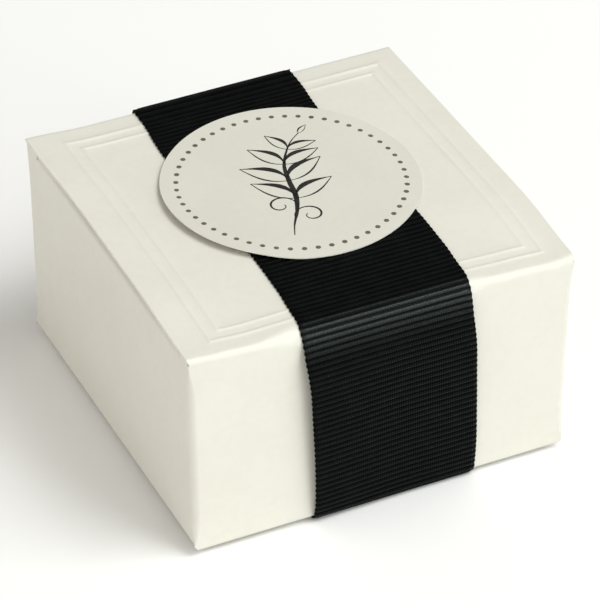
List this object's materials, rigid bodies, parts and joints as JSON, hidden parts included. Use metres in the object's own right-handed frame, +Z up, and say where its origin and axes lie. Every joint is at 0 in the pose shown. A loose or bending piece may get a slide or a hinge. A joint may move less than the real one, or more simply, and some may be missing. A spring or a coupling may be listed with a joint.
{
  "type": "favor box",
  "caption": "Low square card gift box with an embossed tuck-in lid hinged at the front, spring-up dust flaps, a wide ribbed ribbon laid front to back and a round paper label.",
  "frame": {"origin": "middle of the box's footprint, on the surface that it stands on, which the ribbon under its base touches", "axes": "+X along the front from left to right, +Y from the front to the back, +Z up"},
  "size_m": [0.0576, 0.0584, 0.0354],
  "materials": {
    "card": "ivory card with a faint pearl sheen",
    "ribbon": "black cross-ribbed ribbon with smooth edges",
    "label": "matt ivory paper with a printed ring of dots"
  },
  "bodies": {
    "carton": {"front_wall": "card", "left_wall": "card", "right_wall": "card", "back_wall": "card", "glue_flap": "card", "base_outer_panel": "card", "base_inner_panel": "card", "base_dust_flap_left": "card", "base_dust_flap_right": "card", "lid_crease": "card", "ribbon_front": "ribbon", "ribbon_base": "ribbon", "ribbon_back": "ribbon", "ribbon_bend": "ribbon"},
    "lid": {"lid_panel": "card", "ribbon_top": "ribbon", "label": "label"},
    "tuck": {"tuck_flap": "card"},
    "dust_left": {"lid_dust_flap_left": "card"},
    "dust_right": {"lid_dust_flap_right": "card"}
  },
  "joints": [
    {"name": "lid_hinge", "type": "hinge", "parent": "carton", "child": "lid", "pos_m": [0, -0.02823, 0.03371], "axis": [1, 0, 0], "range_deg": [0, 120], "deforming": ["lid_crease", "ribbon_bend"]},
    {"name": "tuck_hinge", "type": "hinge", "parent": "lid", "child": "tuck", "pos_m": [0, 0.02712, 0.03335], "axis": [-1, 0, 0], "range_deg": [-7, 60], "stiffness_Nm_per_rad": 0.00005},
    {"name": "dust_hinge_left", "type": "hinge", "parent": "carton", "child": "dust_left", "pos_m": [-0.02857, 0, 0.03225], "axis": [0, -1, 0], "range_deg": [0, 66]},
    {"name": "dust_hinge_right", "type": "hinge", "parent": "carton", "child": "dust_right", "pos_m": [0.02857, 0, 0.03225], "axis": [0, 1, 0], "range_deg": [0, 66]}
  ],
  "couplings": [
    {"joint": "dust_hinge_left", "follows": "lid_hinge", "ratio": 0.55},
    {"joint": "dust_hinge_right", "follows": "lid_hinge", "ratio": 0.55}
  ]
}
